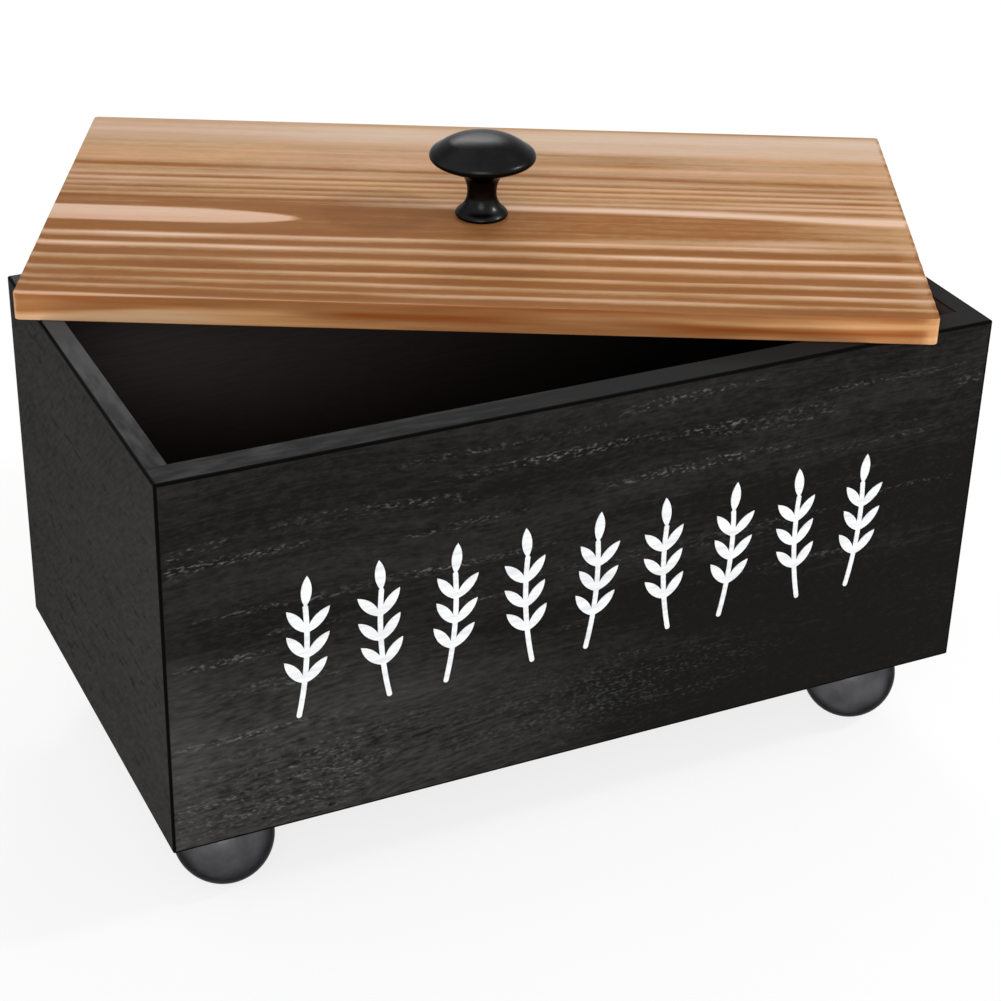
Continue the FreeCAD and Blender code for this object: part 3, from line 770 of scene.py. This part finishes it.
class PODCONTAINER_OT_ball_feet(Operator):
    """Paints the four ball feet"""

    bl_idname = "pod_container.ball_feet"
    bl_label = "Ball Feet"

    def execute(self, context):
        colours = context.scene.pod_container_colours
        paint = satin_paint("foot_paint", list(colours.foot_paint), 0.34, 1.04, 0.3)
        for name in FEET:
            wear(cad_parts[name], paint)
        return {"FINISHED"}


class PODCONTAINER_OT_painted_sprigs(Operator):
    """Paints the row of sprigs on the front"""

    bl_idname = "pod_container.painted_sprigs"
    bl_label = "Painted Sprigs"

    def execute(self, context):
        wear(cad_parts["painted_sprigs"], chalky_paint(context.scene.pod_container_colours))
        return {"FINISHED"}


class PODCONTAINER_OT_hardware(Operator):
    """Plates the screws and pins"""

    bl_idname = "pod_container.hardware"
    bl_label = "Hardware"

    def execute(self, context):
        steel = plated_steel(context.scene.pod_container_colours)
        for name in SCREWS + PINS:
            wear(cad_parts[name], steel)
        return {"FINISHED"}


class PODCONTAINER_OT_brushed_lid(Operator):
    """Builds the lid board with its brushed growth rings"""

    bl_idname = "pod_container.brushed_lid"
    bl_label = "Brushed Lid"

    # Rounding of the lid's corners in the construction, seen from above.
    BUILT_CORNER = 1.5 * MM
    # Spacing of the mesh along the lid, across it and through it.
    SPACING = (2.4 * MM, 0.55 * MM, 0.8 * MM)

    def execute(self, context):
        sizes = context.scene.pod_container_sizes
        colours = context.scene.pod_container_colours
        half = self.half_size(sizes)
        edge, corner = sizes.lid_edge, sizes.lid_corner
        grid, quads = divided_box(*(stations(h, spacing, edge) for h, spacing in zip(half, self.SPACING)))
        top = grid[:, 2] > half[2] - 1e-9
        places = eased(grid, half, corner, edge)
        along, across = places[:, 0] / half[0], places[:, 1] / MM
        pale, coarse, fine = lid_grain(along, across)
        raised = step(places[:, 2], 0, half[2])
        places[:, 2] -= raised * (coarse * sizes.coarse_relief + fine * sizes.fine_relief)

        paleness = np.where(top, pale, self.edge_paleness(places, half, pale))
        centre, turn = node_centre("lid_board"), sizes.lid_turn
        cosine, sine = math.cos(turn), math.sin(turn)
        places[:, :2] = places[:, :2] @ np.array([[cosine, sine], [-sine, cosine]])
        board = new_piece("lid_board_brushed", places + np.array(centre), quads)
        hold(board, "paleness", paleness)
        wear(board, torched_face(colours, centre, turn), sawn_edge(colours, centre, turn))
        on_top = top[quads].all(1)
        board.data.polygons.foreach_set("material_index", np.where(on_top, 0, 1).astype(np.int32))
        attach(board, "lid")
        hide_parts("lid_board")
        return {"FINISHED"}

    def half_size(self, sizes):
        """Half the board's length, width and thickness, from the box round it as it lies turned."""
        box = node_size("lid_board")
        spare = 2 * self.BUILT_CORNER
        cosine, sine = abs(math.cos(sizes.lid_turn)), abs(math.sin(sizes.lid_turn))
        share = cosine**2 - sine**2
        long_side = ((box.x - spare) * cosine - (box.y - spare) * sine) / share + spare
        short_side = ((box.y - spare) * cosine - (box.x - spare) * sine) / share + spare
        return np.array([long_side, short_side, box.z]) / 2

    @staticmethod
    def edge_paleness(places, half, face):
        """Paleness of the sawn edges and the underside. The front edge has patterns of its own."""
        along = places[:, 0] / half[0]
        height = places[:, 2] / half[2]
        front = places[:, 1] < -half[1] + 1 * MM
        waves = np.sin(11 * along + 1.5 * np.sin(4.3 * along))

        def streak(level, half_height):
            return np.exp(-(((height - level) / half_height) ** 2))

        sapwood_top = -0.4 + 0.68 * step(along, -1.05, -0.62) + 0.06 * waves
        sapwood = step(sapwood_top - height, -0.15, 0.25) * step(along, -0.22, -0.72)
        knotty = streak(0.05, 0.35) * step(along, -0.45, -0.25) * step(along, 0.22, -0.02)
        amber = streak(0.3 - 0.1 * waves, 0.3) * step(along, 0.05, 0.55)
        heart = streak(-0.3 - 0.08 * waves, 0.32) * step(along, 0.25, 0.6)
        pale = 0.34 + 0.56 * sapwood - 0.3 * knotty + 0.29 * amber - 0.31 * heart
        pale = pale - 0.12 * step(height, 0.55, 0.9)
        right_end, left_end = step(along, 0.955, 0.985), step(along, -0.992, -1.0)
        pale = pale + (0.68 - pale) * right_end
        # The front edge's last millimetre at the left is a painted highlight on the corner.
        pale = pale + (0.95 - pale) * left_end
        return np.where(front, pale, 0.25 + 0.4 * face)


class PODCONTAINER_OT_turned_knob(Operator):
    """Turns the mushroom knob"""

    bl_idname = "pod_container.turned_knob"
    bl_label = "Turned Knob"

    # Half the knob's section from the foot to the top of the dome: radius and height, in millimetres,
    # on a knob 32 across and 25 high.
    OUTLINE = (
        (0, 0), (4, 0), (7.3, 0), (7.8, 0.3), (7.95, 0.9), (7.4, 1.7), (6.3, 2.7), (5.45, 3.8), (4.9, 4.9),
        (4.55, 6.1), (4.45, 7.4), (4.5, 8.8), (4.75, 10.0), (5.05, 11.0), (5.5, 12.1), (6.5, 13.3),
        (8.3, 14.3), (10.6, 15.4), (12.8, 16.4), (14.6, 17.3), (15.6, 18.0), (16.0, 18.8), (15.9, 19.5),
        (15.5, 20.1), (14.9, 20.6), (14.2, 21.05), (13.4, 21.6), (12.4, 22.3), (11.2, 23.0), (9.6, 23.75),
        (7.2, 24.42), (4.0, 24.88), (0, 25),
    )
    STEPS_BETWEEN = 6

    def execute(self, context):
        sizes = context.scene.pod_container_sizes
        colours = context.scene.pod_container_colours
        box = node_size("knob")
        outline = smooth_line(self.OUTLINE, self.STEPS_BETWEEN)
        outline[:, 0] *= box.x / 2 / outline[:, 0].max()
        outline[:, 1] *= box.z / outline[:, 1].max()
        knob = new_piece("knob_turned", *turned(outline, sizes.knob_segments))
        wear(knob, satin_paint("knob_paint", list(colours.knob_paint), 0.27, 1.1, 0.28))
        low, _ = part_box("knob")
        centre = node_centre("knob")
        knob.location = (centre.x, centre.y, low.z)
        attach(knob, "lid")
        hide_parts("knob")
        return {"FINISHED"}


def smooth_line(points, steps):
    """A smooth line through points, with a number of steps between each two."""
    points = np.array(points, float)
    padded = np.vstack([2 * points[0] - points[1], points, 2 * points[-1] - points[-2]])
    share = np.linspace(0, 1, steps, endpoint=False)[:, None]
    line = []
    for before, start, end, after in zip(padded, padded[1:], padded[2:], padded[3:]):
        line.append(
            start
            + 0.5 * share * (end - before)
            + share**2 * (before - 2.5 * start + 2 * end - 0.5 * after)
            + share**3 * (1.5 * (start - end) + 0.5 * (after - before))
        )
    line = np.vstack([*line, points[-1:]])
    line[:, 0] = np.maximum(line[:, 0], 0)
    return line


def turned(outline, segments):
    """Vertices and faces of a solid of revolution. The outline starts and ends on the axis."""
    turn = np.linspace(0, 2 * math.pi, segments, endpoint=False)
    radius, height = outline[1:-1, 0], outline[1:-1, 1]
    rings = np.stack(
        [
            radius[:, None] * np.cos(turn),
            radius[:, None] * np.sin(turn),
            np.repeat(height[:, None], segments, 1),
        ],
        -1,
    ).reshape(-1, 3)
    vertices = np.vstack([rings, [[0, 0, outline[0, 1]], [0, 0, outline[-1, 1]]]])
    first, last = len(rings), len(rings) + 1
    index = np.arange(len(rings)).reshape(len(radius), segments)
    following = np.roll(index, -1, 1)
    faces = np.stack([index[:-1], following[:-1], following[1:], index[1:]], -1).reshape(-1, 4).tolist()
    faces += [[first, b, a] for a, b in zip(index[0], following[0])]
    faces += [[last, a, b] for a, b in zip(index[-1], following[-1])]
    return vertices, faces


def softbox(name, place, aim, width, height, power):
    """An oval studio lamp that faces a point."""
    lamp = bpy.data.lights.new(name, "AREA")
    lamp.shape = "ELLIPSE"
    lamp.size, lamp.size_y = width, height
    lamp.energy = power
    holder = bpy.data.objects.new(name, lamp)
    holder.location = place
    holder.rotation_euler = (Vector(aim) - Vector(place)).to_track_quat("-Z", "Y").to_euler()
    bpy.context.scene.collection.objects.link(holder)


def seen_directly(nodes, links):
    """A number that is 1 where a surface is seen by the camera, in a reflection or through glass."""
    path = nodes.new("ShaderNodeLightPath")
    total = path.outputs["Is Camera Ray"]
    for name in ("Is Glossy Ray", "Is Transmission Ray"):
        either = nodes.new("ShaderNodeMath")
        either.operation = "MAXIMUM"
        links.new(total, either.inputs[0])
        links.new(path.outputs[name], either.inputs[1])
        total = either.outputs[0]
    return total


class PODCONTAINER_OT_stage(Operator):
    """Sets up the floor, the lamps and the camera"""

    bl_idname = "pod_container.stage"
    bl_label = "Stage"

    # Strength of the soft light from all round.
    SURROUNDING_LIGHT = 0.67
    # Half the floor's side, and how much of its own white it shows beside what falls on it.
    FLOOR_REACH, FLOOR_GLOW = 4.0, 0.8
    LAMP_AIM = (0.0, 0.0, 0.1)
    # Each lamp's name, place, width, height and power in watts.
    LAMPS = (
        ("rear_softbox", (0.33, 0.94, 0.68), 0.52, 0.24, 4.2),
        ("front_softbox", (-0.6, -1.1, 0.8), 0.8, 0.8, 6.5),
        ("right_spot", (0.76, -0.36, 0.68), 0.12, 0.08, 3.4),
    )

    def execute(self, context):
        self.pale_floor(context.scene.pod_container_colours)
        self.white_surroundings(context.scene)
        for name, place, width, height, power in self.LAMPS:
            softbox(name, place, self.LAMP_AIM, width, height, power)
        self.place_camera(context.scene)
        context.scene.view_settings.view_transform = "Standard"
        return {"FINISHED"}

    def pale_floor(self, colours):
        """A wide floor, which keeps the container's shadow."""
        reach = self.FLOOR_REACH
        corners = [(-reach, -reach, 0), (reach, -reach, 0), (reach, reach, 0), (-reach, reach, 0)]
        floor = new_piece("studio_floor", corners, [(0, 1, 2, 3)], smooth=False)
        finish = Finish("pale_floor")
        finish.surface_is(Base_Color=list(colours.floor), Roughness=0.9, Specular_IOR_Level=0.1)
        glow = finish.nodes.new("ShaderNodeEmission")
        blend = finish.nodes.new("ShaderNodeMixShader")
        seen = seen_directly(finish.nodes, finish.links)
        finish.links.new(finish.number("MULTIPLY", seen, self.FLOOR_GLOW), blend.inputs[0])
        finish.links.new(finish.surface.outputs[0], blend.inputs[1])
        finish.links.new(glow.outputs[0], blend.inputs[2])
        finish.links.new(blend.outputs[0], finish.nodes["Material Output"].inputs["Surface"])
        wear(floor, finish.material)

    def white_surroundings(self, scene):
        """White all round where it is seen, and a plain soft light elsewhere."""
        world = bpy.data.worlds.new("white_surroundings")
        world.use_nodes = True
        nodes, links = world.node_tree.nodes, world.node_tree.links
        lit = nodes["Background"]
        lit.inputs["Color"].default_value = (1, 1, 1, 1)
        lit.inputs["Strength"].default_value = self.SURROUNDING_LIGHT
        white = nodes.new("ShaderNodeBackground")
        white.inputs["Color"].default_value = (1, 1, 1, 1)
        blend = nodes.new("ShaderNodeMixShader")
        links.new(seen_directly(nodes, links), blend.inputs[0])
        links.new(lit.outputs[0], blend.inputs[1])
        links.new(white.outputs[0], blend.inputs[2])
        links.new(blend.outputs[0], nodes["World Output"].inputs["Surface"])
        scene.world = world

    @staticmethod
    def place_camera(scene):
        """A camera to the front and left of the container, slightly rolled, looking down on it."""
        turn, rise, roll = math.radians(-26.07), math.radians(29.42), math.radians(1.57)
        distance, target = 0.7101, Vector((0.0017, -0.0029, 0.0754))
        back = Vector((math.sin(turn) * math.cos(rise), -math.cos(turn) * math.cos(rise), math.sin(rise)))
        right = Vector((0, 0, 1)).cross(back).normalized()
        up = back.cross(right)
        rolled_right = right * math.cos(roll) + up * math.sin(roll)
        rolled_up = up * math.cos(roll) - right * math.sin(roll)
        camera = bpy.data.cameras.new("studio_camera")
        camera.sensor_width = 36
        camera.lens = 84.84
        camera.clip_start = 0.01
        holder = bpy.data.objects.new("studio_camera", camera)
        facing = Matrix((rolled_right, rolled_up, back)).transposed().to_4x4()
        holder.matrix_world = Matrix.Translation(target + back * distance) @ facing
        scene.collection.objects.link(holder)
        scene.camera = holder


PIECES = (
    PODCONTAINER_OT_stained_walls,
    PODCONTAINER_OT_ball_feet,
    PODCONTAINER_OT_painted_sprigs,
    PODCONTAINER_OT_hardware,
    PODCONTAINER_OT_brushed_lid,
    PODCONTAINER_OT_turned_knob,
    PODCONTAINER_OT_stage,
)


class PODCONTAINER_PT_panel(Panel):
    """Lists the sizes, the colours and what can be built from them"""

    bl_idname = "PODCONTAINER_PT_panel"
    bl_label = "Pod Container"
    bl_space_type = "VIEW_3D"
    bl_region_type = "UI"
    bl_category = "Pod Container"

    def draw(self, context):
        for group in (context.scene.pod_container_sizes, context.scene.pod_container_colours):
            column = self.layout.column()
            for name in group.__annotations__:
                column.prop(group, name)
        for piece in PIECES:
            self.layout.operator(piece.bl_idname)


CLASSES = (PodContainerSizes, PodContainerColours, *PIECES, PODCONTAINER_PT_panel)


def register():
    for each in CLASSES:
        bpy.utils.register_class(each)
    bpy.types.Scene.pod_container_sizes = PointerProperty(type=PodContainerSizes)
    bpy.types.Scene.pod_container_colours = PointerProperty(type=PodContainerColours)


def unregister():
    del bpy.types.Scene.pod_container_colours
    del bpy.types.Scene.pod_container_sizes
    for each in reversed(CLASSES):
        bpy.utils.unregister_class(each)


def main():
    """Dresses the container."""
    register()
    bpy.ops.pod_container.stained_walls()
    bpy.ops.pod_container.ball_feet()
    bpy.ops.pod_container.painted_sprigs()
    bpy.ops.pod_container.hardware()
    bpy.ops.pod_container.brushed_lid()
    bpy.ops.pod_container.turned_knob()
    bpy.ops.pod_container.stage()


if __name__ == "__main__":
    main()
